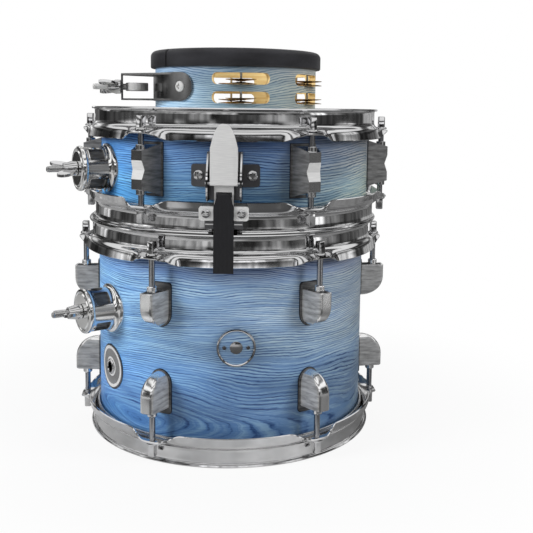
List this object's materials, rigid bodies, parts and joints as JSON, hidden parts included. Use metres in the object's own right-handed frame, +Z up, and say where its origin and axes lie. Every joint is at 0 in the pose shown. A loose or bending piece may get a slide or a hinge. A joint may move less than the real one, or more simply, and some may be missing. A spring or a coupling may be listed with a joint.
{
  "type": "drum shell pack",
  "caption": "Stacked shell pack: a jingle ring with a rubber edge on a snare drum on a tom, with stained wood shells, flanged hoops, lugs, rod mounts and a snare throw-off.",
  "frame": {"origin": "bottom centre of the whole pack's box, on the floor plane under the tom's lower rim", "axes": "+Z up along the drums' axes, -Y towards the snare throw-off at the front, +X to the right as seen from the front"},
  "size_m": [0.3112, 0.2918, 0.3524],
  "materials": {
    "blue_ash": "blue stained ash with an open grain under a satin lacquer",
    "film": "coated white drum film",
    "chrome": "polished chrome plate",
    "satin_steel": "satin plated steel",
    "rubber": "black moulded rubber, slightly shiny",
    "strap": "black woven strap",
    "brass": "polished brass"
  },
  "bodies": {
    "tom": {"tom_shell": "blue_ash", "tom_batter_head": "film", "tom_resonant_head": "film", "tom_top_hoop": "chrome", "tom_bottom_hoop": "chrome", "tom_upper_lug_1": "chrome", "tom_upper_lug_2": "chrome", "tom_upper_lug_3": "chrome", "tom_upper_lug_4": "chrome", "tom_upper_lug_5": "chrome", "tom_upper_lug_6": "chrome", "tom_lower_lug_1": "chrome", "tom_lower_lug_2": "chrome", "tom_lower_lug_3": "chrome", "tom_lower_lug_4": "chrome", "tom_lower_lug_5": "chrome", "tom_lower_lug_6": "chrome", "tom_mount": "chrome", "tom_vent_badge": "chrome", "tom_medallion": "chrome"},
    "tom_clamp_bolt": {"tom_eye_bolt": "chrome"},
    "tom_clamp_nut": {"tom_wing_nut": "chrome"},
    "snare": {"snare_shell": "blue_ash", "snare_batter_head": "film", "snare_resonant_head": "film", "snare_top_hoop": "chrome", "snare_bottom_hoop": "chrome", "snare_lug_1": "chrome", "snare_lug_2": "chrome", "snare_lug_3": "chrome", "snare_lug_4": "chrome", "snare_lug_5": "chrome", "snare_lug_6": "chrome", "snare_mount": "chrome", "snare_wires": "satin_steel", "strainer_base": "chrome", "butt_plate": "chrome", "butt_strap": "strap"},
    "snare_clamp_bolt": {"snare_eye_bolt": "chrome"},
    "snare_clamp_nut": {"snare_wing_nut": "chrome"},
    "throw_off_lever": {"strainer_lever": "satin_steel"},
    "throw_off_slide": {"strainer_slide": "satin_steel", "snare_strap": "strap"},
    "jingle_ring": {"jingle_ring_shell": "blue_ash", "jingle_ring_rubber": "rubber", "jingle_ring_bracket": "chrome"},
    "ring_clamp_bolt": {"jingle_ring_eye_bolt": "chrome"},
    "ring_clamp_nut": {"jingle_ring_wing_nut": "chrome"},
    "jingles_1": {"jingle_pair_1": "brass"},
    "jingles_2": {"jingle_pair_2": "brass"},
    "jingles_3": {"jingle_pair_3": "brass"},
    "jingles_4": {"jingle_pair_4": "brass"},
    "jingles_5": {"jingle_pair_5": "brass"},
    "jingles_6": {"jingle_pair_6": "brass"},
    "jingles_7": {"jingle_pair_7": "brass"},
    "jingles_8": {"jingle_pair_8": "brass"}
  },
  "joints": [
    {"name": "snare_lift", "type": "slide", "parent": "tom", "child": "snare", "axis": [0, 0, 1], "range_m": [0, 0.15]},
    {"name": "ring_lift", "type": "slide", "parent": "snare", "child": "jingle_ring", "axis": [0, 0, 1], "range_m": [0, 0.1]},
    {"name": "throw_off_lever_turn", "type": "hinge", "parent": "snare", "child": "throw_off_lever", "pos_m": [-0.00135, -0.14267, 0.241], "axis": [0.9978, -0.0663, 0], "range_deg": [0, 95]},
    {"name": "throw_off_slide_drop", "type": "slide", "parent": "snare", "child": "throw_off_slide", "axis": [0, 0, -1], "range_m": [0, 0.005]},
    {"name": "tom_nut_turn", "type": "hinge", "parent": "tom", "child": "tom_clamp_nut", "pos_m": [-0.12673, -0.08104, 0.1213], "axis": [-0.848, -0.5299, 0], "range_deg": [0, 720]},
    {"name": "tom_bolt_release", "type": "slide", "parent": "tom", "child": "tom_clamp_bolt", "axis": [0.848, 0.5299, 0], "range_m": [0, 0.0025]},
    {"name": "snare_nut_turn", "type": "hinge", "parent": "snare", "child": "snare_clamp_nut", "pos_m": [-0.13139, -0.06729, 0.2461], "axis": [-0.8973, -0.4415, 0], "range_deg": [0, 720]},
    {"name": "snare_bolt_release", "type": "slide", "parent": "snare", "child": "snare_clamp_bolt", "axis": [0.8973, 0.4415, 0], "range_m": [0, 0.0025]},
    {"name": "ring_nut_turn", "type": "hinge", "parent": "jingle_ring", "child": "ring_clamp_nut", "pos_m": [-0.09942, -0.01047, 0.3189], "axis": [-0.994, -0.1097, 0], "range_deg": [0, 720]},
    {"name": "ring_bolt_release", "type": "slide", "parent": "jingle_ring", "child": "ring_clamp_bolt", "axis": [0.994, 0.1097, 0], "range_m": [0, 0.0025]},
    {"name": "jingle_1_rattle", "type": "slide", "parent": "jingle_ring", "child": "jingles_1", "axis": [0, 0, 1], "range_m": [0, 0.005]},
    {"name": "jingle_2_rattle", "type": "slide", "parent": "jingle_ring", "child": "jingles_2", "axis": [0, 0, 1], "range_m": [0, 0.005]},
    {"name": "jingle_3_rattle", "type": "slide", "parent": "jingle_ring", "child": "jingles_3", "axis": [0, 0, 1], "range_m": [0, 0.005]},
    {"name": "jingle_4_rattle", "type": "slide", "parent": "jingle_ring", "child": "jingles_4", "axis": [0, 0, 1], "range_m": [0, 0.005]},
    {"name": "jingle_5_rattle", "type": "slide", "parent": "jingle_ring", "child": "jingles_5", "axis": [0, 0, 1], "range_m": [0, 0.005]},
    {"name": "jingle_6_rattle", "type": "slide", "parent": "jingle_ring", "child": "jingles_6", "axis": [0, 0, 1], "range_m": [0, 0.005]},
    {"name": "jingle_7_rattle", "type": "slide", "parent": "jingle_ring", "child": "jingles_7", "axis": [0, 0, 1], "range_m": [0, 0.005]},
    {"name": "jingle_8_rattle", "type": "slide", "parent": "jingle_ring", "child": "jingles_8", "axis": [0, 0, 1], "range_m": [0, 0.005]}
  ],
  "couplings": [
    {"joint": "throw_off_slide_drop", "follows": "throw_off_lever_turn", "m_per_rad": 0.003015},
    {"joint": "tom_bolt_release", "follows": "tom_nut_turn", "m_per_rad": 0.0001989},
    {"joint": "snare_bolt_release", "follows": "snare_nut_turn", "m_per_rad": 0.0001989},
    {"joint": "ring_bolt_release", "follows": "ring_nut_turn", "m_per_rad": 0.0001989}
  ]
}
